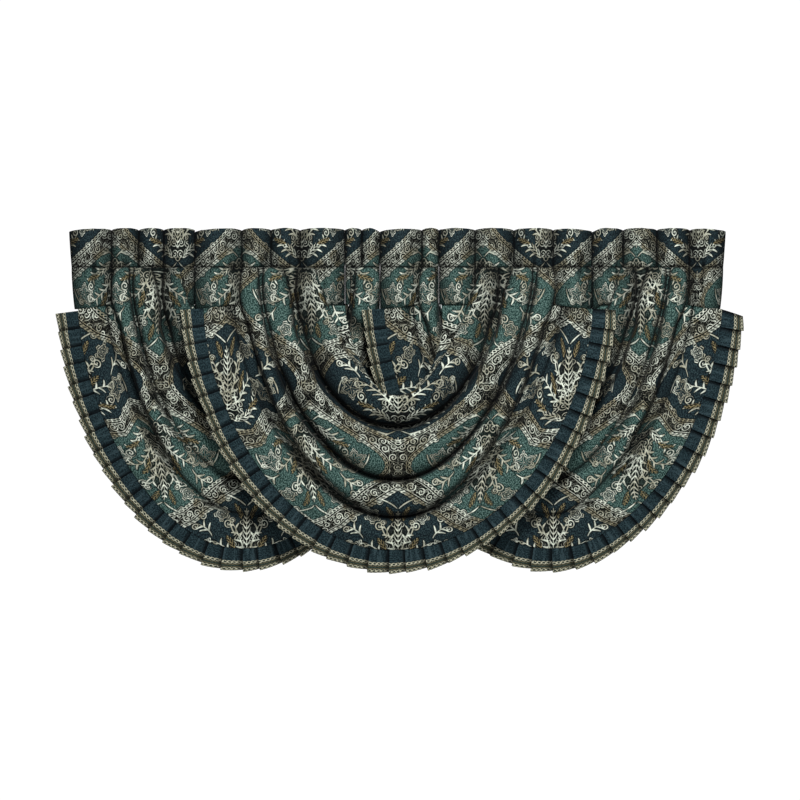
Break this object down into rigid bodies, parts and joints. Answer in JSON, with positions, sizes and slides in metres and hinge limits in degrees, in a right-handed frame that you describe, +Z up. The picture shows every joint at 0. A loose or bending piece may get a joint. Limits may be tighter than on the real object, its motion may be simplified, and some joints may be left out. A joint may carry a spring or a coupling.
{
  "type": "waterfall valance",
  "caption": "Waterfall valance: overlapping swags of damask cloth with rod pockets, tulip pleats, open cowls and knife-pleated, braid-trimmed ruffles.",
  "frame": {"origin": "middle of the top edge of the headings, on the plane through the rod pockets", "axes": "+X to the right along the rod, -Y towards the viewer, +Z up"},
  "size_m": [1.7926, 0.1414, 0.8948],
  "materials": {
    "woven_cloth": "damask-woven chenille with a slight sheen",
    "ruffle_cloth": "plain ribbed cloth, matt",
    "braid": "woven braid with raised chain lines"
  },
  "bodies": {
    "root": {"left_swag": "woven_cloth", "right_swag": "woven_cloth", "centre_swag": "woven_cloth", "left_band_outer": "woven_cloth", "left_band_inner": "woven_cloth", "centre_band_left": "woven_cloth", "centre_band_right": "woven_cloth", "right_band_inner": "woven_cloth", "right_band_outer": "woven_cloth", "left_ruffle": "ruffle_cloth", "right_ruffle": "ruffle_cloth", "centre_ruffle": "ruffle_cloth", "left_braid": "braid", "right_braid": "braid", "centre_braid": "braid"}
  },
  "joints": []
}
